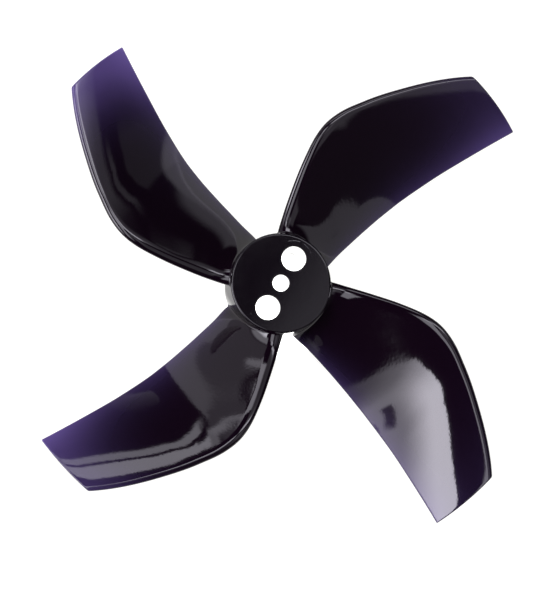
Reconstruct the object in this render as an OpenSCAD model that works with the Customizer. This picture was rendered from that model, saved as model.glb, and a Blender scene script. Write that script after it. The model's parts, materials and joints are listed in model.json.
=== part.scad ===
// Ducted-fan propeller with four swept blades on a two-screw hub.
// The whole propeller is one injection moulding. It is drawn here as its moulded
// features, each a solid of its own, which meet face to face.
// +Z is the shaft axis and the thrust side, Z = 0 is the face that seats on the
// motor, and the two screw holes lie along X. Seen from +Z it turns anticlockwise.

/* [Overall] */
// Diameter over the blade tips
prop_d = 51; // [42:0.5:64]
// Diameter of the hub
hub_d = 9; // [9:0.1:12]
// Height of the hub, seat face to top of rim
hub_h = 5; // [4.5:0.1:7]

/* [Motor mount] */
// Diameter of the bore for the motor shaft
shaft_bore_d = 1.5; // [1:0.1:2]
// Diameter of each clearance hole for an M2 screw
screw_hole_d = 2.2; // [1.8:0.1:2.4]
// Distance between the centres of the two screw holes
screw_spacing = 5; // [4.6:0.1:5.6]
// Wall of the boss around each screw hole
boss_wall = 0.5; // [0.4:0.05:0.6]

/* [Hub details] */
// Wall of the skirt
skirt_wall = 0.8; // [0.6:0.05:1.2]
// Thickness of the web that closes the top of the hub
web_t = 1.5; // [1:0.1:2.5]
// Height of the half-round rim around the top face
rim_h = 0.18; // [0.1:0.02:0.3]
// Thickness of each rib between a boss side and the skirt
rib_t = 0.8; // [0.6:0.1:1.4]
// Distance that the ribs stop short of the seat face
rib_recess = 0.4; // [0.2:0.1:1]
// Chamfer at the foot of the skirt
foot_chamfer = 0.2; // [0.1:0.05:0.4]

/* [Blades] */
// Pitch of the outer blade, the advance in one turn
pitch = 53; // [40:0.5:55]
// Height of the trailing edge above the seat face, at the hub
root_foot = 0.6; // [0.4:0.05:1]
// Depth of the leading edge below the top of the hub, at the hub
root_head = 0.4; // [0.2:0.05:0.8]
// Rise of the blade for each millimetre outwards
rake = 0.1; // [0:0.01:0.2]
// Thickness of the blade next to its root
root_t = 1.15; // [0.8:0.05:1.5]
// Thickness of the blade at its tip
tip_t = 0.6; // [0.4:0.05:1]
// Thickness of the trailing edge
trailing_t = 0.3; // [0.2:0.05:0.5]
// Rise of the mid surface above a flat helix, as a share of the chord
camber = 0.035; // [0:0.005:0.08]
// Length of the flared root next to the hub
root_len = 1.5; // [1:0.1:2.5]
// Thickness that the flare adds at the hub
root_flare = 0.4; // [0:0.05:0.8]

/* [Hidden] */

$fn = 96;
blades = 4;
hub_r = hub_d / 2;
tip_r = prop_d / 2;
top_z = hub_h - rim_h;
web_z = top_z - web_t;
skirt_r = hub_r - skirt_wall;
boss_r = screw_hole_d / 2 + boss_wall;
// the three bosses part in the middle of the walls between their holes
split_x = (shaft_bore_d / 2 + screw_spacing / 2 - screw_hole_d / 2) / 2;
root_end_r = hub_r + root_len;
// climb of the mid surface around the hub, and the height of its middle
root_climb = hub_h - root_foot - root_head;
root_mid_z = root_foot + root_climb / 2;
// each root starts inside the hub and is trimmed to the skirt's face
root_bury = 0.4;
cut = 1;

// Plan of a blade at stations from the hub to the tip, as
// [share of the span, angle of the trailing edge, angle of the leading edge].
// The leading edge runs out nearly radially and turns back at an elbow near mid span.
stations = [
    [0.00, -41.5, 30.0],
    [0.08, -34.3, 25.3],
    [0.18, -30.2, 21.3],
    [0.30, -27.8, 18.0],
    [0.42, -26.8, 15.0],
    [0.49, -26.7, 12.5],
    [0.56, -26.8, 8.7],
    [0.64, -27.0, 3.5],
    [0.78, -27.6, -4.4],
    [1.00, -28.5, -14.6]
];
last_station = len(stations) - 1;
// share of the span at which the blade has reached its full pitch
full_pitch_at = 0.5;
// share of the chord, from the trailing edge, at which the section is thickest
thickest_at = 0.75;
chord_steps = 14;
root_rings = 6;
blade_rings = 30;

plastic = [0.10, 0.06, 0.16];
plastic_dark = [0.06, 0.04, 0.09];

// ---- curves of the blade ----

function smooth(t) = let (k = min(1, max(0, t))) k * k * (3 - 2 * k);

function slope_at(i, column) =
    let (a = max(i - 1, 0), b = min(i + 1, last_station))
    (stations[b][column] - stations[a][column]) / (stations[b][0] - stations[a][0]);

function segment_at(u, i = 0) =
    i >= last_station - 1 || u < stations[i + 1][0] ? i : segment_at(u, i + 1);

// smooth cubic through one column of the station table
function station_value(u, column) =
    let (
        i = segment_at(u),
        run = stations[i + 1][0] - stations[i][0],
        t = (u - stations[i][0]) / run,
        p = stations[i][column],
        q = stations[i + 1][column],
        m = slope_at(i, column) * run,
        n = slope_at(i + 1, column) * run
    )
    p + m * t + (3 * (q - p) - 2 * m - n) * t * t + (2 * (p - q) + m + n) * t * t * t;

function span_share(r) = max(0, (r - hub_r) / (tip_r - hub_r));

// angle that the section covers around the shaft
function sweep_at(u) = station_value(u, 2) - station_value(u, 1);

// pitch grows from the climb around the hub to the full pitch
function pitch_at(u) =
    let (root_pitch = root_climb * 360 / sweep_at(0))
    root_pitch + (pitch - root_pitch) * smooth(u / full_pitch_at);

// largest thickness of the section, with the flare next to the hub
function thickness_at(r) =
    let (
        u = span_share(r),
        near_hub = min(1, max(0, (root_end_r - r) / root_len))
    )
    tip_t + (root_t - tip_t) * (1 - u) + root_flare * near_hub * near_hub;

// half thickness at share v of the chord: thin trailing edge, thick rounded nose
function half_thickness(v, t, chord) =
    let (
        body = trailing_t + (t - trailing_t) * sin(90 * min(1, v / thickest_at)),
        nose = t * 0.9 / chord,
        tail = trailing_t / 2 / chord,
        from_nose = min(1, (1 - v) / nose),
        from_tail = min(1, v / tail),
        round_nose = sqrt(max(0, 1 - (1 - from_nose) * (1 - from_nose))),
        round_tail = sqrt(max(0, 1 - (1 - from_tail) * (1 - from_tail)))
    )
    body / 2 * round_nose * round_tail;

// point on the section at radius r, share v of the chord; side is 1 on top, -1 below
function blade_point(r, v, side) =
    let (
        u = span_share(r),
        trailing = station_value(u, 1),
        sweep = sweep_at(u),
        helix = pitch_at(u) / 360,
        climb_angle = atan2(helix * 180 / PI, r),
        chord = sweep * PI / 180 * r / cos(climb_angle),
        lift = camber * chord * 4 * v * (1 - v)
             + side * half_thickness(v, thickness_at(r), chord),
        z = root_mid_z + rake * (r - hub_r) + helix * sweep * (v - 0.5)
          + lift * cos(climb_angle),
        a = trailing + sweep * v - lift * sin(climb_angle) * 180 / PI / r
    )
    [r * cos(a), r * sin(a), z];

function chord_share(k) = (1 - cos(180 * k / chord_steps)) / 2;

// one closed ring of points: trailing edge, over the top, leading edge, back below
function section(r) = [
    for (k = [0 : chord_steps]) blade_point(r, chord_share(k), 1),
    for (k = [chord_steps - 1 : -1 : 1]) blade_point(r, chord_share(k), -1)
];

// solid carried through the sections at the given radii
module sections_solid(radii) {
    ring = 2 * chord_steps;
    last = (len(radii) - 1) * ring;
    points = [for (r = radii) each section(r)];
    sides = [
        for (j = [0 : len(radii) - 2], k = [0 : ring - 1])
            let (a = j * ring + k, b = j * ring + (k + 1) % ring)
            each [[a, b, b + ring], [a, b + ring, a + ring]]
    ];
    // each end is a ladder of triangles from the top line to the lower line
    ladder = [
        for (k = [0 : chord_steps - 1])
            let (a = k, b = k + 1, c = (ring - k - 1) % ring, d = (ring - k) % ring)
            each [if (a != d) [a, c, d], if (b != c) [a, b, c]]
    ];
    inner_end = [for (f = ladder) [f[2], f[1], f[0]]];
    outer_end = [for (f = ladder) [f[0] + last, f[1] + last, f[2] + last]];
    polyhedron(points = points, faces = concat(sides, inner_end, outer_end));
}

function radii(from, to, count) = [for (i = [0 : count - 1]) from + (to - from) * i / (count - 1)];

module at_blade(number) rotate([0, 0, 360 / blades * (number - 1)]) children();

// ---- sub-parts ----

// outline of the bosses together: two round ends and the straight block between
module boss_outline() {
    square([screw_spacing, 2 * boss_r], center = true);
    for (side = [-1, 1]) translate([side * screw_spacing / 2, 0]) circle(r = boss_r);
}

module boss_block() {
    intersection() {
        linear_extrude(top_z) boss_outline();
        cylinder(r = hub_r - rim_h, h = top_z);
    }
}

module shaft_boss() {
    color(plastic_dark)
    difference() {
        translate([-split_x, -boss_r, 0]) cube([2 * split_x, 2 * boss_r, top_z]);
        translate([0, 0, -cut]) cylinder(d = shaft_bore_d, h = hub_h + 2 * cut);
    }
}

// side is -1 for the boss towards -X and 1 for the boss towards +X
module screw_boss(side) {
    color(plastic_dark)
    difference() {
        intersection() {
            boss_block();
            translate([side > 0 ? split_x : -split_x - hub_d, -hub_d, 0])
                cube([hub_d, 2 * hub_d, top_z]);
        }
        translate([side * screw_spacing / 2, 0, -cut])
            cylinder(d = screw_hole_d, h = hub_h + 2 * cut);
    }
}

// side is -1 for the web towards -Y and 1 for the web towards +Y
module web(side) {
    color(plastic_dark)
    difference() {
        intersection() {
            translate([0, 0, web_z]) cylinder(r = skirt_r, h = web_t);
            translate([-hub_d, side > 0 ? 0 : -hub_d, web_z]) cube([2 * hub_d, hub_d, web_t]);
        }
        boss_block();
    }
}

module rib(side) {
    color(plastic_dark)
    intersection() {
        cylinder(r = skirt_r, h = web_z);
        translate([-rib_t / 2, side > 0 ? boss_r : -boss_r - hub_d, rib_recess])
            cube([rib_t, hub_d, web_z - rib_recess]);
    }
}

module hub_skirt() {
    color(plastic)
    difference() {
        rotate_extrude()
            polygon([
                [skirt_r, 0], [hub_r - foot_chamfer, 0], [hub_r, foot_chamfer],
                [hub_r, top_z], [skirt_r, top_z]
            ]);
        boss_block();
    }
}

// half-round bead along the top edge of the hub
module hub_rim() {
    color(plastic)
    rotate_extrude()
        translate([hub_r - rim_h, top_z])
            intersection() {
                circle(r = rim_h);
                translate([-rim_h, 0]) square([2 * rim_h, rim_h]);
            }
}

// flared root that joins a blade to the skirt, trimmed to the skirt's round face
module root(number) {
    color(plastic)
    at_blade(number)
        difference() {
            sections_solid(radii(hub_r - root_bury, root_end_r, root_rings));
            translate([0, 0, -cut]) cylinder(r = hub_r, h = 2 * hub_h);
        }
}

module blade(number) {
    color(plastic)
    at_blade(number)
        sections_solid(radii(root_end_r, tip_r, blade_rings));
}

shaft_boss();
screw_boss(-1);  // screw_boss_left
screw_boss(1);  // screw_boss_right
web(-1);  // web_front
web(1);  // web_back
rib(-1);  // rib_front
rib(1);  // rib_back
hub_skirt();
hub_rim();
root(1);  // root_1
root(2);  // root_2
root(3);  // root_3
root(4);  // root_4
blade(1);  // blade_1
blade(2);  // blade_2
blade(3);  // blade_3
blade(4);  // blade_4
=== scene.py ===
"""Looks of a four-bladed ducted-fan propeller, moulded in smoked violet plastic."""

import json
import math

import bpy
import numpy as np
from mathutils import Matrix, Vector


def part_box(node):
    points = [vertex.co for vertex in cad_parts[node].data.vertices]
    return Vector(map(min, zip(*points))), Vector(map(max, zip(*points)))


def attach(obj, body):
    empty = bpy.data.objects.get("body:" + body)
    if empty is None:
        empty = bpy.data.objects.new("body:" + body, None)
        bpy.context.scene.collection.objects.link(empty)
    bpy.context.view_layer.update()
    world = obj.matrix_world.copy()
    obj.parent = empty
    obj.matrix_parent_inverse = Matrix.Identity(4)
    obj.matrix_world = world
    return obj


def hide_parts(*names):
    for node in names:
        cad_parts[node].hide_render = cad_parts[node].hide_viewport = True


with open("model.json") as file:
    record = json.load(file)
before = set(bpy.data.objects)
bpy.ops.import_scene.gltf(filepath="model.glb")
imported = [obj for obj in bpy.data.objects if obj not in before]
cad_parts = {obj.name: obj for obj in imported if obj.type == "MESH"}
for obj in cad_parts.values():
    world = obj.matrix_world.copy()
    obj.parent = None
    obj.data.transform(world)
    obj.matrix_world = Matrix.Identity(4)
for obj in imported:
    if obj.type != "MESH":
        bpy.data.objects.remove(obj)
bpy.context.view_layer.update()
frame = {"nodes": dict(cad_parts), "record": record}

# ---------------------------------------------------------------- sizes, in millimetres

MM = 0.001
mounts = {m["name"]: m for m in frame["record"]["mounts"]}
hub_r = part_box("hub_skirt")[1].x / MM
hub_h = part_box("hub_rim")[1].z / MM
top_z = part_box("hub_rim")[0].z / MM
web_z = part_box("web_back")[0].z / MM
boss_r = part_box("shaft_boss")[1].y / MM
split_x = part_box("shaft_boss")[1].x / MM
shaft_r = mounts["shaft_bore"]["dims"]["r_mm"]
screw_r = mounts["screw_holes"]["dims"]["hole_r_mm"]
screw_x = mounts["screw_holes"]["dims"]["spacing_x_mm"] / 2


def reach(node):
    """Largest distance of a node's points from the shaft axis."""
    points = np.zeros(len(frame["nodes"][node].data.vertices) * 3)
    frame["nodes"][node].data.vertices.foreach_get("co", points)
    points = points.reshape(-1, 3)
    return np.hypot(points[:, 0], points[:, 1]).max() / MM


tip_r = round(reach("blade_1"), 3)
root_end_r = round(reach("root_1"), 3)
root_len = root_end_r - hub_r

# blade design, as in the part's source
BLADES = 4
SKIRT_WALL = 0.8
FOOT_CHAMFER = 0.2
PITCH = 53.0
ROOT_FOOT = 0.6
ROOT_HEAD = 0.4
RAKE = 0.1
ROOT_T = 1.15
TIP_T = 0.6
TRAILING_T = 0.3
CAMBER = 0.035
ROOT_FLARE = 0.4
FULL_PITCH_AT = 0.5
THICKEST_AT = 0.75
NOSE_LEN = 0.9        # length of the rounded nose, as a share of the thickness
STATIONS = np.array([
    [0.00, -41.5, 30.0],
    [0.08, -34.3, 25.3],
    [0.18, -30.2, 21.3],
    [0.30, -27.8, 18.0],
    [0.42, -26.8, 15.0],
    [0.49, -26.7, 12.5],
    [0.56, -26.8, 8.7],
    [0.64, -27.0, 3.5],
    [0.78, -27.6, -4.4],
    [1.00, -28.5, -14.6],
])
root_climb = hub_h - ROOT_FOOT - ROOT_HEAD
root_mid_z = ROOT_FOOT + root_climb / 2

# finishing details that the moulding has and the frame leaves out
FILLET_R = 0.2        # at the foot of each blade
TIP_ROUND = 0.1       # radius of the tip's edges
TIP_DROOP = 0.02      # how far the tip rolls down
DROOP_LEN = 0.9       # over this length at the tip
HOLE_ROUND = 0.05     # radius of the bores' top edges
DOME = 0.06           # rise of the hub's face towards the shaft
RIM_ROLL = 0.18       # radius of the hub's top edge
RIM_CREST = 0.08      # height of that edge's top over the web
CHAMFER_MID = 0.3     # the foot's chamfer is two slopes that meet at this share of it
BURY = 0.05           # how deep a piece runs into the next one
END_GAP = 0.01        # the webs stop this far short of the skirt's inside corner
# painted light at the tips: each blade's tip is lightened by its own share, standing in for how lit
# that tip is, though the four blades are alike
TIP_PAINTED_LIGHT = (0.32, 0.70, 0.52, 0.14)  # share of its depth of colour lost at each tip
TIP_PAINTED_LIGHT_FROM = 0.55  # span share where that begins


# ---------------------------------------------------------------- blade surface

def smooth(t):
    """S-shaped step from 0 to 1: 3 t squared minus 2 t cubed."""
    t = np.clip(t, 0.0, 1.0)
    return t * t * (3.0 - 2.0 * t)


def station_value(u, column):
    """Cubic through one column of the stations, with secant slopes at the stations."""
    x, y = STATIONS[:, 0], STATIONS[:, column]
    ahead = np.minimum(np.arange(len(x)) + 1, len(x) - 1)
    behind = np.maximum(np.arange(len(x)) - 1, 0)
    slope = (y[ahead] - y[behind]) / (x[ahead] - x[behind])
    i = np.clip(np.searchsorted(x, u, side="right") - 1, 0, len(x) - 2)
    run = x[i + 1] - x[i]
    t = (u - x[i]) / run
    p, q, m, n = y[i], y[i + 1], slope[i] * run, slope[i + 1] * run
    return p + m * t + (3 * (q - p) - 2 * m - n) * t ** 2 + (2 * (p - q) + m + n) * t ** 3


def span_share(r):
    """Share of the way from the hub to the tip circle."""
    return np.maximum(0.0, (r - hub_r) / (tip_r - hub_r))


def outline_offset(r):
    """Growth of the section all round: a quarter-round fillet at the hub and a
    quarter-round loss at the tip."""
    into_fillet = np.clip(FILLET_R - (r - hub_r), 0.0, FILLET_R)
    into_tip = np.clip(r - (tip_r - TIP_ROUND), 0.0, TIP_ROUND)
    fillet = FILLET_R - np.sqrt(FILLET_R ** 2 - into_fillet ** 2)
    tip = TIP_ROUND - np.sqrt(np.maximum(TIP_ROUND ** 2 - into_tip ** 2, 0.0))
    return fillet - tip


def wall_at(u, v, near_hub):
    """Largest thickness of the section, and the thickness at share v of the chord
    before its edges are rounded."""
    largest = TIP_T + (ROOT_T - TIP_T) * (1 - u) + ROOT_FLARE * near_hub ** 2
    body = TRAILING_T + (largest - TRAILING_T) * np.sin(
        math.pi / 2 * np.minimum(1.0, v / THICKEST_AT))
    return largest, body


def blade_surface(r, v, side, tip_painted_light):
    """Point at radius r and share v of the chord, on the top (side 1) or below (side -1).
    The mid surface is a helix with the pitch at that radius, raised by the rake and by
    a parabolic camber. Half the wall is added square to the chord, and an ellipse
    rounds the nose and the trailing edge. Close to the tip the surface rolls down with
    the square of the distance. Gives x, y, z and the depth of wall that light passes,
    less a share near the tip that is painted light: each tip is made lighter by a share
    of its own, blade by blade, though the blades are alike."""
    u = span_share(r)
    trailing = station_value(u, 1)
    sweep = station_value(u, 2) - trailing
    root_pitch = root_climb * 360 / (STATIONS[0, 2] - STATIONS[0, 1])
    helix = (root_pitch + (PITCH - root_pitch) * smooth(u / FULL_PITCH_AT)) / 360
    climb = np.arctan2(np.degrees(helix), r)
    chord = np.radians(sweep) * r / np.cos(climb)
    near_hub = np.clip((root_end_r - r) / root_len, 0.0, 1.0)
    largest, body = wall_at(u, v, near_hub)
    grow = outline_offset(r)
    along = v * (chord + 2 * grow) - grow
    nose = (largest + 2 * grow) * NOSE_LEN
    tail = (TRAILING_T + 2 * grow) / 2
    from_nose = np.minimum(1.0, (chord + grow - along) / nose)
    from_tail = np.minimum(1.0, (along + grow) / tail)
    round_nose = np.sqrt(np.maximum(0.0, 1 - (1 - from_nose) ** 2))
    round_tail = np.sqrt(np.maximum(0.0, 1 - (1 - from_tail) ** 2))
    half = (body / 2 + grow) * round_nose * round_tail
    w = along / chord
    lift = CAMBER * chord * 4 * w * (1 - w) + side * half
    z = root_mid_z + RAKE * (r - hub_r) + helix * sweep * (w - 0.5) + lift * np.cos(climb)
    z = z - TIP_DROOP * np.maximum(0.0, 1 - (tip_r - r) / DROOP_LEN) ** 2
    angle = np.radians(trailing + sweep * w) - lift * np.sin(climb) / r
    # painted light: the tip loses depth of colour by a share that differs from blade to blade
    depth = body * (1 - tip_painted_light * smooth((u - TIP_PAINTED_LIGHT_FROM) / (1 - TIP_PAINTED_LIGHT_FROM)))
    return r * np.cos(angle), r * np.sin(angle), z, depth


# ---------------------------------------------------------------- meshes

SHARP_ANGLE = 38      # faces that meet at a larger angle, in degrees, meet in a crisp edge
CHORD_STEPS = 96      # spaces from the trailing edge to the nose
SPAN_ROWS = 170       # rows of points along a blade
LATHE_STEPS = 288     # spaces round a turned piece
BLOCK_STEPS = 40      # spaces along each side of a boss


def make_piece(name, verts, faces, replaced, material):
    """Closed mesh from points in millimetres, put in place of CAD nodes."""
    mesh = bpy.data.meshes.new(name)
    mesh.from_pydata((verts * MM).tolist(), [], faces)
    mesh.validate()
    mesh.shade_smooth()
    mesh.set_sharp_from_angle(angle=math.radians(SHARP_ANGLE))
    piece = bpy.data.objects.new(name, mesh)
    bpy.context.scene.collection.objects.link(piece)
    piece.data.materials.append(material)
    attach(piece, "root")
    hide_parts(*replaced)
    return piece


def ring_faces(rows, ring):
    """Quads between neighbouring rings of points, each ring closed on itself."""
    j, k = np.meshgrid(np.arange(rows - 1), np.arange(ring), indexing="ij")
    a = j * ring + k
    b = j * ring + (k + 1) % ring
    return np.stack([a, b, b + ring, a + ring], -1).reshape(-1, 4).tolist()


def torus_faces(segments, ring):
    """Quads between closed rings of points that run round and meet the first again."""
    j, k = np.meshgrid(np.arange(segments), np.arange(ring), indexing="ij")
    p = j * ring + k
    q = j * ring + (k + 1) % ring
    step = ((j + 1) % segments - j) * ring
    return np.stack([p, p + step, q + step, q], -1).reshape(-1, 4).tolist()


def ladder_cap(start, ring, outward):
    """Faces across a ring whose first half is the top line and whose second half is
    the lower line run backwards."""
    half = ring // 2
    faces = []
    for k in range(half):
        corners = [k, k + 1, (ring - k - 1) % ring, (ring - k) % ring]
        loop = list(dict.fromkeys(start + c for c in corners))
        faces.append(loop if outward else loop[::-1])
    return faces


def blade_mesh(name, radii, number, node, material):
    """Part of a blade between two radii, as rings around its section."""
    turn = 2 * math.pi / BLADES * (number - 1)
    share = (1 - np.cos(np.linspace(0, math.pi, CHORD_STEPS + 1))) / 2
    v = np.concatenate([share, share[-2:0:-1]])
    side = np.concatenate([np.ones(CHORD_STEPS + 1), -np.ones(CHORD_STEPS - 1)])
    r = radii[:, None]
    x, y, z, wall = blade_surface(r, v[None, :], side[None, :], TIP_PAINTED_LIGHT[number - 1])
    c, s = math.cos(turn), math.sin(turn)
    verts = np.stack([x * c - y * s, x * s + y * c, z], -1).reshape(-1, 3)
    ring = len(v)
    faces = ring_faces(len(radii), ring)
    faces += ladder_cap(0, ring, False)
    faces += ladder_cap((len(radii) - 1) * ring, ring, True)
    piece = make_piece(name, verts, faces, [node], material)
    # the wall attribute carries the depth with the painted tip light taken off
    add_attribute(piece, "wall", wall)
    return piece


def add_attribute(piece, name, values):
    """Number carried on each point, for the material to read."""
    attribute = piece.data.attributes.new(name, "FLOAT", "POINT")
    attribute.data.foreach_set("value", np.ascontiguousarray(values, np.float32).ravel())


def make_blades(material):
    """Roots and blades, each blade a quarter turn on from the last."""
    tip_arc = np.sin(np.linspace(0, math.pi / 2, 7))
    fillet_arc = 1 - np.cos(np.linspace(0, math.pi / 2, 9))
    root_radii = np.concatenate([
        [hub_r - BURY],
        hub_r + FILLET_R * fillet_arc[:-1],
        np.linspace(hub_r + FILLET_R, root_end_r, 12),
    ])
    blade_radii = np.concatenate([
        np.linspace(root_end_r, tip_r - TIP_ROUND, SPAN_ROWS),
        tip_r - TIP_ROUND + TIP_ROUND * tip_arc[1:],
    ])
    for number in range(1, BLADES + 1):
        blade_mesh(f"root_{number}_surface", root_radii, number, f"root_{number}", material)
        blade_mesh(f"blade_{number}_surface", blade_radii, number, f"blade_{number}", material)


def face_height(x, y):
    """Top face of the hub: a very shallow dome, highest at the shaft."""
    share = np.hypot(x, y) / hub_r
    return top_z + RIM_CREST + DOME * (1 - share ** 2)


def lathe(name, profile, node, material, inner):
    """Closed profile of (radius, height) points turned about the shaft. Each radius is
    at least inner(angle)."""
    a = np.linspace(0, 2 * math.pi, LATHE_STEPS, endpoint=False)[:, None]
    radius = np.maximum(profile[None, :, 0] + 0 * a, inner(a))
    height = profile[None, :, 1] + 0 * a
    verts = np.stack([radius * np.cos(a), radius * np.sin(a), height], -1).reshape(-1, 3)
    return make_piece(name, verts, torus_faces(LATHE_STEPS, len(profile)), [node],
                      material)


def boss_reach(a):
    """Distance from the shaft to the round end of the nearer screw boss, at angle a."""
    square = boss_r ** 2 - (screw_x * np.sin(a)) ** 2
    far = screw_x * np.abs(np.cos(a)) + np.sqrt(np.maximum(square, 0.0))
    return np.where(square > 0, far, 0.0)


def boss(name, node, centre_x, hole_r, outline, corners, material):
    """Block with a round hole. outline(angle) is the distance from the hole's centre to
    the block's side. For each angle one closed loop of points goes up the hole's wall,
    over its rounded edge, across the top face, down the side and back below."""
    stops = sorted(set(corners))
    sides = [np.linspace(start, end, BLOCK_STEPS, endpoint=False)
             for start, end in zip(stops[:-1], stops[1:])]
    a = np.concatenate(sides)[:, None]
    arc = np.linspace(0, math.pi / 2, 6)
    across = np.linspace(0, 1, 10)[1:]
    far = outline(a)
    near = hole_r + HOLE_ROUND
    radius = np.concatenate([
        hole_r + 0 * arc + 0 * a,
        hole_r + HOLE_ROUND * (1 - np.cos(arc)) + 0 * a,
        near + (far - near) * across,
        far,
    ], 1)
    n = len(arc)
    x = centre_x + radius * np.cos(a)
    y = radius * np.sin(a)
    top = face_height(x, y)
    height = top.copy()
    height[:, :n] = np.linspace(0, face_height(centre_x, 0) - 2 * HOLE_ROUND, n)
    height[:, n:2 * n] = top[:, n:2 * n] - HOLE_ROUND * (1 - np.sin(arc))
    height[:, -1] = 0.0
    verts = np.stack([x, y, height], -1).reshape(-1, 3)
    return make_piece(name, verts, torus_faces(*x.shape), [node], material)


def make_hub(material):
    """Bosses, webs, skirt and rim."""
    right = math.pi / 2
    corner = math.atan2(boss_r, split_x)
    boss("shaft_boss_block", "shaft_boss", 0.0, shaft_r,
         lambda a: np.minimum(split_x / np.maximum(np.abs(np.cos(a)), 1e-9),
                              boss_r / np.maximum(np.abs(np.sin(a)), 1e-9)),
         [-corner, corner, 2 * right - corner, 2 * right + corner, 4 * right - corner], material)
    back = screw_x - split_x
    back_corner = 2 * right - math.atan2(boss_r, back)
    for node, side in (("screw_boss_right", 1), ("screw_boss_left", -1)):
        def outline(a, side=side):
            c, s = side * np.cos(a), np.abs(np.sin(a))
            straight = np.minimum(boss_r / np.maximum(s, 1e-9), back / np.maximum(-c, 1e-9))
            return np.where(c >= 0, boss_r, straight)
        turn = 0.0 if side > 0 else 2 * right
        stops = [turn + t for t in (-right, 0, right, back_corner,
                                    4 * right - back_corner, 3 * right)]
        boss(node + "_block", node, side * screw_x, screw_r, outline, stops, material)
    skirt_r = hub_r - SKIRT_WALL
    # the web ends where the skirt's inside meets the round end of a boss
    end_x = (skirt_r ** 2 - boss_r ** 2 + screw_x ** 2) / (2 * screw_x) - END_GAP
    x = np.linspace(-end_x, end_x, 121)[:, None]
    past = np.maximum(np.abs(x) - screw_x, 0.0)
    y_in = np.sqrt(np.maximum(boss_r ** 2 - past ** 2, 0.0))
    y_out = np.sqrt(skirt_r ** 2 - x ** 2)
    t = np.linspace(0, 1, 16)
    loop = np.concatenate([t, t[::-1]])[None, :]
    y = y_in + (y_out - y_in) * loop
    for node, side in (("web_back", 1), ("web_front", -1)):
        z = np.where(np.arange(len(loop[0])) < len(t), face_height(x + 0 * y, y), web_z)
        verts = np.stack([x + 0 * y, side * y, z], -1).reshape(-1, 3)
        ring = len(loop[0])
        faces = ring_faces(len(x), ring)
        first = list(range(ring))
        last = [(len(x) - 1) * ring + k for k in range(ring)]
        faces += [first[::-1], last]
        if side > 0:
            faces = [f[::-1] for f in faces]
        make_piece(node + "_plate", verts, faces, [node], material)
    c = FOOT_CHAMFER
    skirt = np.array([
        [skirt_r, 0.0], [hub_r - c, 0.0],
        [hub_r - CHAMFER_MID * c, CHAMFER_MID * c], [hub_r, c],
        *[[hub_r, z] for z in np.linspace(2 * c, top_z, 12)], [skirt_r, top_z],
    ])
    lathe("hub_skirt_wall", skirt[::-1], "hub_skirt", material, boss_reach)
    # rim cap: the dome's outer part, and a rolled edge
    arc = np.linspace(0, math.pi / 2, 12)
    crest_r = hub_r - RIM_ROLL
    crest_z = face_height(crest_r, 0)
    across_r = np.linspace(crest_r, skirt_r, 14)[1:]
    rim = np.concatenate([
        [[hub_r, top_z - BURY]],
        np.stack([crest_r + RIM_ROLL * np.cos(arc), crest_z - RIM_ROLL + RIM_ROLL * np.sin(arc)], 1),
        np.stack([across_r, face_height(across_r, 0)], 1),
        [[skirt_r, top_z - BURY]],
    ])
    lathe("hub_rim_cap", rim[::-1], "hub_rim", material, boss_reach)


# ---------------------------------------------------------------- materials

# size of each noise pattern, in features to a metre
PEEL_SCALE = 4200
WAVE_SCALE = 420
HAZE_SCALE = 260
SMUDGE_SCALE = 1500
CLOUD_SCALE = 300

def new_group(name, inputs, outputs):
    """Empty node group with named sockets. Gives the group, its input and output nodes."""
    group = bpy.data.node_groups.new(name, "ShaderNodeTree")
    for label, kind, value in inputs:
        socket = group.interface.new_socket(label, in_out="INPUT", socket_type=kind)
        socket.default_value = value
    for label, kind in outputs:
        group.interface.new_socket(label, in_out="OUTPUT", socket_type=kind)
    return group, group.nodes.new("NodeGroupInput"), group.nodes.new("NodeGroupOutput")


def math_node(tree, operation, a, b=0.0, clamp=False):
    """Math node with each input a socket or a number."""
    node = tree.nodes.new("ShaderNodeMath")
    node.operation = operation
    node.use_clamp = clamp
    for slot, value in zip(node.inputs, (a, b)):
        if isinstance(value, (int, float)):
            slot.default_value = value
        else:
            tree.links.new(value, slot)
    return node.outputs[0]


def colour_mix(tree, factor, a, b, blend="MIX"):
    """Colour mix with each input a socket, a number or a colour."""
    node = tree.nodes.new("ShaderNodeMix")
    node.data_type = "RGBA"
    node.blend_type = blend
    for slot, value in zip((node.inputs[0], node.inputs[6], node.inputs[7]), (factor, a, b)):
        if isinstance(value, (int, float, tuple)):
            slot.default_value = value
        else:
            tree.links.new(value, slot)
    return node.outputs[2]


def noise(tree, vector, scale, detail=2.0, rough=0.5, distortion=0.0):
    """Noise texture read at a vector."""
    node = tree.nodes.new("ShaderNodeTexNoise")
    node.inputs["Scale"].default_value = scale
    node.inputs["Detail"].default_value = detail
    node.inputs["Roughness"].default_value = rough
    node.inputs["Distortion"].default_value = distortion
    tree.links.new(vector, node.inputs["Vector"])
    return node.outputs["Fac"]


def depth_tint_group():
    """Colour of smoked plastic by the depth of wall that light passes: the clear colour
    falls off as e to the power of minus density times depth, onto the core colour."""
    group, ins, outs = new_group(
        "depth_tint",
        [("Wall", "NodeSocketFloat", 1.0), ("Density", "NodeSocketFloat", 8.5),
         ("Clear", "NodeSocketColor", (0.42, 0.27, 0.85, 1)),
         ("Core", "NodeSocketColor", (0.004, 0.001, 0.006, 1))],
        [("Color", "NodeSocketColor"), ("Clearness", "NodeSocketFloat")])
    depth = math_node(group, "MULTIPLY", ins.outputs["Wall"], ins.outputs["Density"])
    passed = math_node(group, "POWER", math.exp(-1), depth, clamp=True)
    colour = colour_mix(group, passed, ins.outputs["Core"], ins.outputs["Clear"])
    group.links.new(colour, outs.inputs["Color"])
    group.links.new(passed, outs.inputs["Clearness"])
    return group


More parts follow.
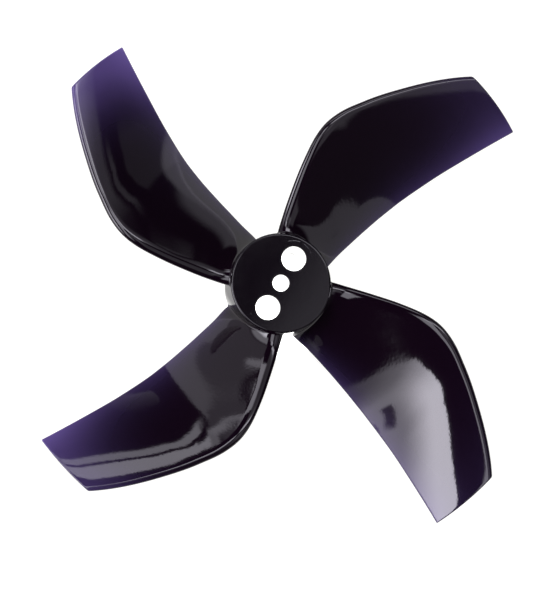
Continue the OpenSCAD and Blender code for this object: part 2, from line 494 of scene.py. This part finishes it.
def moulded_skin_group():
    """Skin of a polished mould: faint orange peel, soft sink waves and a roughness that
    wanders with handling. Gives the bump height and the roughness."""
    group, ins, outs = new_group(
        "moulded_skin",
        [("Peel", "NodeSocketFloat", 0.3), ("Waves", "NodeSocketFloat", 0.6),
         ("Gloss", "NodeSocketFloat", 0.08), ("Haze", "NodeSocketFloat", 0.05)],
        [("Height", "NodeSocketFloat"), ("Roughness", "NodeSocketFloat")])
    place = group.nodes.new("ShaderNodeTexCoord").outputs["Object"]
    peel = noise(group, place, PEEL_SCALE, 2.0, 0.5)
    waves = noise(group, place, WAVE_SCALE, 2.0, 0.4)
    haze = noise(group, place, HAZE_SCALE, 4.0, 0.65, 0.6)
    smudge = noise(group, place, SMUDGE_SCALE, 5.0, 0.7)
    height = math_node(group, "ADD",
                       math_node(group, "MULTIPLY", peel, ins.outputs["Peel"]),
                       math_node(group, "MULTIPLY", waves, ins.outputs["Waves"]))
    patches = math_node(group, "MULTIPLY", haze, smudge)
    rough = math_node(group, "ADD", ins.outputs["Gloss"],
                      math_node(group, "MULTIPLY", patches, ins.outputs["Haze"]))
    group.links.new(height, outs.inputs["Height"])
    group.links.new(rough, outs.inputs["Roughness"])
    return group


def read_attribute(tree, name):
    """Value of a number carried on the surface."""
    reader = tree.nodes.new("ShaderNodeAttribute")
    reader.attribute_name = name
    return reader.outputs["Fac"]


def plastic_material(name, wall, tint, skin, settings):
    """Smoked plastic. wall is the attribute with the wall's depth, or a fixed depth."""
    material = bpy.data.materials.new(name)
    material.use_nodes = True
    tree = material.node_tree
    shader = tree.nodes["Principled BSDF"]
    shader.inputs["IOR"].default_value = 1.58
    depth = tree.nodes.new("ShaderNodeGroup")
    depth.node_tree = tint
    depth.inputs["Clear"].default_value = settings["clear"]
    depth.inputs["Core"].default_value = settings["core"]
    depth.inputs["Density"].default_value = settings["density"]
    surface = tree.nodes.new("ShaderNodeGroup")
    surface.node_tree = skin
    for label in ("Peel", "Waves", "Gloss", "Haze"):
        surface.inputs[label].default_value = settings[label.lower()]
    place = tree.nodes.new("ShaderNodeTexCoord").outputs["Object"]
    cloud = noise(tree, place, CLOUD_SCALE, 3.0, 0.6, 1.2)
    if isinstance(wall, str):
        uneven = math_node(tree, "MULTIPLY_ADD", cloud, 0.1)
        uneven.node.inputs[2].default_value = 0.95
        tree.links.new(math_node(tree, "MULTIPLY", read_attribute(tree, wall), uneven),
                       depth.inputs["Wall"])
    else:
        thick = math_node(tree, "MULTIPLY_ADD", cloud, 0.3)
        thick.node.inputs[2].default_value = wall
        tree.links.new(thick, depth.inputs["Wall"])
    tree.links.new(depth.outputs["Color"], shader.inputs["Base Color"])
    tree.links.new(surface.outputs["Roughness"], shader.inputs["Roughness"])
    bump = tree.nodes.new("ShaderNodeBump")
    bump.inputs["Strength"].default_value = settings["bump"]
    bump.inputs["Distance"].default_value = settings["bump_depth"]
    tree.links.new(surface.outputs["Height"], bump.inputs["Height"])
    tree.links.new(bump.outputs["Normal"], shader.inputs["Normal"])
    return material


# ---------------------------------------------------------------- camera, floor and light

VIEW_LEAN = 9.66          # degrees of the view away from the shaft
VIEW_BEARING = 163.75     # bearing of that lean, from +X
VIEW_UP_BEARING = 27.79   # bearing that points up in the view, from +X
VIEW_DISTANCE = 0.5       # from the top of the hub
VIEW_HEIGHT = 52.99 * MM  # height of the field at the hub
VIEW_AIM = (-0.223 * MM, -1.296 * MM)  # centre of the view beside the hub, right and up
SENSOR = 36.0

FLOOR_R = 6.0
FLOOR_COLOUR = (0.25, 0.25, 0.245, 1)
FLOOR_GAP = 0.004 * MM
FLOOR_GLOW = 0.96
FLOOR_SHEEN = 0.45            # glow of the floor as the plastic mirrors it
SHEEN_FROM = 4.9              # further out than this from GLOW_CENTRE, in millimetres
HUB_GLOW = 3.2                # glow under the hub
GLOW_R = 4.7
GLOW_SOFT = 0.3               # half the width of that patch's edge
GLOW_CENTRE = (0.4, -1.4)     # right and up in the view, in millimetres
PALE = (1.0, 1.0, 0.97)
ROOM_TINT = (1.0, 0.965, 1.08)
ROOM_GLOW = 0.015
HORIZON_GLOW = 1.1
HORIZON_LEAN = (88.6, 89.8)   # degrees from overhead where that begins and is full
# radiance, then lines as bearing from the view's right, degrees out, softness
PANELS = [
    # key softbox, brighter towards its inner edge and its top, with a dark lamp spot
    (0.8, [(187.4, 42.2, 0.5), (147.7, 14.2, 1.0), (-90, -6, 4), (60, -74, 8)]),
    (1.6, [(187.4, 42.2, 0.5), (147.7, 14.2, 1.0), (-90, -6, 4), (60, -74, 8), (100, -32, 9)]),
    (6.4, [(187.4, 42.2, 0.5), (147.7, 14.2, 1.0), (-90, -6, 4), (12, -58, 8), (90, -28, 11)]),
    (-2.2, [(21.3, -69.6, 0.8), (201.3, 65.8, 0.8), (-68.7, -11.5, 2), (111.3, -4.7, 2)]),
    # pair of strips ahead, the lower one bent at its left end
    (2.0, [(90, 50.2, 0.3), (-90, -54.8, 1.0), (37.4, 9.5, 2), (180, -6, 6)]),
    (2.7, [(72.7, 35.4, 0.4), (-90, -48.2, 0.3), (0, -21, 1), (180, -4, 6)]),
    (2.7, [(118.3, 47.3, 0.5), (-90, -46.6, 0.7), (180, 21, 1), (37.4, 7.1, 1)]),
    (1.4, [(118.3, 47.3, 0.5), (-90, -48.0, 0.7), (217.4, -7.1, 1), (37.4, 3.2, 1.0), (0, -33, 1)]),
    # grey screen up to the left, darker below
    (0.42, [(217.4, -7.1, 0.4), (180, 28, 1), (90, 24, 6)]),
    (0.44, [(217.4, -7.1, 0.4), (63.2, 32.2, 0.5)]),
    # left of overhead
    (2.0, [(180, 34, 3), (0, -66, 4), (90, 6, 2), (-90, -22, 3)]),
    # dim screen on the right, and a nearer one over the hub
    (0.42, [(0, 14, 3), (180, -45, 3), (90, -25, 2), (-90, -5, 4)]),
    (0.45, [(-35, 2.4, 2.0), (180, -22, 3), (90, -8, 4), (-90, -14, 2)]),
    # small panel overhead to the left
    (2.6, [(0, -20, 1.5), (180, 2, 2), (90, -26, 3), (-90, -9, 3)]),
    # low panel ahead on the right, brighter inwards
    (0.4, [(0, 5, 3), (180, -45, 2), (90, 16, 2), (-90, -40, 8)]),
    (0.8, [(0, 5, 3), (180, -38, 5), (90, 16, 2), (-90, -24, 5)]),
    # thin strip beside it
    (0.3, [(0, 47.5, 0.5), (180, -50.5, 1), (90, 26, 3), (-90, -45, 3)]),
    # bright bars nearer overhead
    (4.4, [(0, 3, 4), (180, -30, 3), (90, 13.6, 1.2), (-90, -21.0, 1.5)]),
    (4.0, [(0, -12, 4), (180, -0.5, 1.5), (90, 7.5, 1.5), (-90, -14.8, 1.5)]),
    # screen far right, and low sky beyond it, above and below
    (0.13, [(0, 58, 1), (90, 24, 2), (-90, -46, 2)]),
    (0.6, [(32.3, 83.6, 1.2), (90, 20, 4)]),
    (0.42, [(0, 44, 4), (90, 59.5, 3), (212.3, -83.6, 1.2)]),
    (0.45, [(-25, 77.2, 0.3), (237.1, -1.5, 0.6)]),
    (0.45, [(0, 56.8, 1.0), (57.1, 1.5, 0.6), (-90, 5, 6)]),
    # faint wall behind, lower right
    (0.035, [(0, 12, 8), (-90, 15, 10)]),
]


def bearing_vector(degrees):
    return Vector((math.cos(math.radians(degrees)), math.sin(math.radians(degrees)), 0))


def make_camera():
    """Camera on the thrust side, leaning away from the shaft."""
    lean = math.radians(VIEW_LEAN)
    back = bearing_vector(VIEW_BEARING) * math.sin(lean) + Vector((0, 0, math.cos(lean)))
    flat_up = bearing_vector(VIEW_UP_BEARING)
    right = flat_up.cross(back).normalized()
    up = back.cross(right)
    hub_top = Vector((0, 0, hub_h * MM))
    aim = hub_top + right * VIEW_AIM[0] + up * VIEW_AIM[1]
    data = bpy.data.cameras.new("view")
    data.sensor_width = SENSOR
    data.lens = SENSOR * VIEW_DISTANCE / VIEW_HEIGHT
    data.clip_start = 0.01
    data.clip_end = 20
    camera = bpy.data.objects.new("view", data)
    bpy.context.scene.collection.objects.link(camera)
    turn = Matrix((right, up, back)).transposed().to_4x4()
    camera.matrix_world = Matrix.Translation(aim + back * VIEW_DISTANCE) @ turn
    bpy.context.scene.camera = camera


def make_floor():
    """Round pale floor that glows like a light table, brightest at GLOW_CENTRE."""
    count = 96
    a = np.linspace(0, 2 * math.pi, count, endpoint=False)
    mesh = bpy.data.meshes.new("floor")
    verts = np.stack([FLOOR_R * np.cos(a), FLOOR_R * np.sin(a), 0 * a - FLOOR_GAP], 1)
    mesh.from_pydata(verts.tolist(), [], [list(range(count))])
    floor = bpy.data.objects.new("floor", mesh)
    bpy.context.scene.collection.objects.link(floor)
    material = bpy.data.materials.new("pale_floor")
    material.use_nodes = True
    tree = material.node_tree
    shader = tree.nodes["Principled BSDF"]
    shader.inputs["Base Color"].default_value = FLOOR_COLOUR
    shader.inputs["Roughness"].default_value = 0.9
    shader.inputs["Specular IOR Level"].default_value = 0.0
    shader.inputs["Emission Strength"].default_value = 1.0
    place = tree.nodes.new("ShaderNodeTexCoord").outputs["Object"]
    away = tree.nodes.new("ShaderNodeVectorMath")
    away.operation = "DISTANCE"
    tree.links.new(place, away.inputs[0])
    away.inputs[1].default_value = view_vector(*GLOW_CENTRE, 0) * MM
    glow = fade(tree, away.outputs["Value"], (GLOW_R - GLOW_SOFT) * MM,
                (GLOW_R + GLOW_SOFT) * MM, 1.0, 0.0)
    colour = colour_mix(tree, glow, (*[c * FLOOR_GLOW for c in PALE], 1),
                        (*[c * HUB_GLOW for c in PALE], 1))
    path = tree.nodes.new("ShaderNodeLightPath")
    near = fade(tree, away.outputs["Value"], SHEEN_FROM * MM,
                (SHEEN_FROM + GLOW_SOFT) * MM, 1.0, 0.0)
    beyond = math_node(tree, "SUBTRACT", path.outputs["Is Glossy Ray"], near, True)
    mirrored = colour_mix(tree, beyond, colour, (*[c * FLOOR_SHEEN for c in PALE], 1))
    tree.links.new(mirrored, shader.inputs["Emission Color"])
    mesh.materials.append(material)


def view_vector(right, up, height):
    """Vector given along the view's right and up, and the shaft."""
    ahead = bearing_vector(VIEW_UP_BEARING)
    side = bearing_vector(VIEW_UP_BEARING - 90)
    return side * right + ahead * up + Vector((0, 0, height))


def sky_angles(tree):
    """Direction as two angles in degrees: how far it leans from overhead, shared between
    the view's right and the view's up. Gives that flat vector and the whole lean."""
    direction = tree.nodes.new("ShaderNodeTexCoord").outputs["Generated"]
    parts = tree.nodes.new("ShaderNodeSeparateXYZ")
    tree.links.new(direction, parts.inputs[0])
    lean = math_node(tree, "MULTIPLY", math_node(tree, "ARCCOSINE", parts.outputs["Z"]),
                     math.degrees(1))
    level = tree.nodes.new("ShaderNodeVectorMath")
    level.operation = "MULTIPLY"
    level.inputs[1].default_value = (1, 1, 0)
    tree.links.new(direction, level.inputs[0])
    unit = tree.nodes.new("ShaderNodeVectorMath")
    unit.operation = "NORMALIZE"
    tree.links.new(level.outputs[0], unit.inputs[0])
    flat = tree.nodes.new("ShaderNodeVectorMath")
    flat.operation = "SCALE"
    tree.links.new(unit.outputs[0], flat.inputs[0])
    tree.links.new(lean, flat.inputs["Scale"])
    return flat.outputs[0], lean


def fade(tree, value, start, end, low=0.0, high=1.0):
    """Smooth change from low to high as value goes from start to end."""
    node = tree.nodes.new("ShaderNodeMapRange")
    node.interpolation_type = "SMOOTHSTEP"
    node.inputs["From Min"].default_value = start
    node.inputs["From Max"].default_value = end
    node.inputs["To Min"].default_value = low
    node.inputs["To Max"].default_value = high
    tree.links.new(value, node.inputs["Value"])
    return node.outputs[0]


def past_line(tree, flat, bearing, at, soft):
    """1 where the flat vector is more than at degrees along a bearing from the view's
    right, 0 elsewhere."""
    along = tree.nodes.new("ShaderNodeVectorMath")
    along.operation = "DOT_PRODUCT"
    c, s = math.cos(math.radians(bearing)), math.sin(math.radians(bearing))
    along.inputs[1].default_value = view_vector(c, s, 0)
    tree.links.new(flat, along.inputs[0])
    return fade(tree, along.outputs["Value"], at - soft, at + soft)


def make_world():
    """Dark room with soft panels, and a horizon that is bright all round. Each panel is
    the part of the sky past all of its lines (bearing, degrees out, softness)."""
    world = bpy.data.worlds.new("room")
    bpy.context.scene.world = world
    world.use_nodes = True
    tree = world.node_tree
    flat, lean = sky_angles(tree)
    # the horizon is mirrored as dimly as the floor is
    glossy = tree.nodes.new("ShaderNodeLightPath").outputs["Is Glossy Ray"]
    horizon = math_node(tree, "SUBTRACT", HORIZON_GLOW,
                        math_node(tree, "MULTIPLY", glossy, HORIZON_GLOW - FLOOR_SHEEN))
    total = math_node(tree, "MULTIPLY", fade(tree, lean, *HORIZON_LEAN), horizon)
    total = math_node(tree, "ADD", total, ROOM_GLOW)
    for radiance, lines in PANELS:
        mask = None
        for line in lines:
            part = past_line(tree, flat, *line)
            mask = part if mask is None else math_node(tree, "MULTIPLY", mask, part)
        total = math_node(tree, "ADD", total, math_node(tree, "MULTIPLY", mask, radiance))
    joined = tree.nodes.new("ShaderNodeCombineColor")
    for socket, share in zip(joined.inputs, ROOM_TINT):
        tree.links.new(math_node(tree, "MULTIPLY", total, share), socket)
    tree.links.new(joined.outputs[0], tree.nodes["Background"].inputs["Color"])


make_camera()
bpy.context.scene.view_settings.view_transform = "Standard"

depth_tint = depth_tint_group()
moulded_skin = moulded_skin_group()
blade_plastic = plastic_material("smoked_violet_blade", "wall", depth_tint, moulded_skin, {
    "clear": (0.46, 0.32, 1.0, 1), "core": (0.0048, 0.0012, 0.0046, 1), "density": 8.0,
    "peel": 0.3, "waves": 0.8, "gloss": 0.035, "haze": 0.06,
    "bump": 0.25, "bump_depth": 0.02 * MM,
})
hub_plastic = plastic_material("smoked_violet_hub", 1.2, depth_tint, moulded_skin, {
    "clear": (0.42, 0.27, 0.85, 1), "core": (0.003, 0.001, 0.0035, 1), "density": 8.5,
    "peel": 0.3, "waves": 0.9, "gloss": 0.07, "haze": 0.1,
    "bump": 0.25, "bump_depth": 0.02 * MM,
})

make_blades(blade_plastic)
make_hub(hub_plastic)
for node in ("rib_front", "rib_back"):
    cad = frame["nodes"][node]
    cad.data.materials.clear()
    cad.data.materials.append(hub_plastic)

make_floor()
make_world()
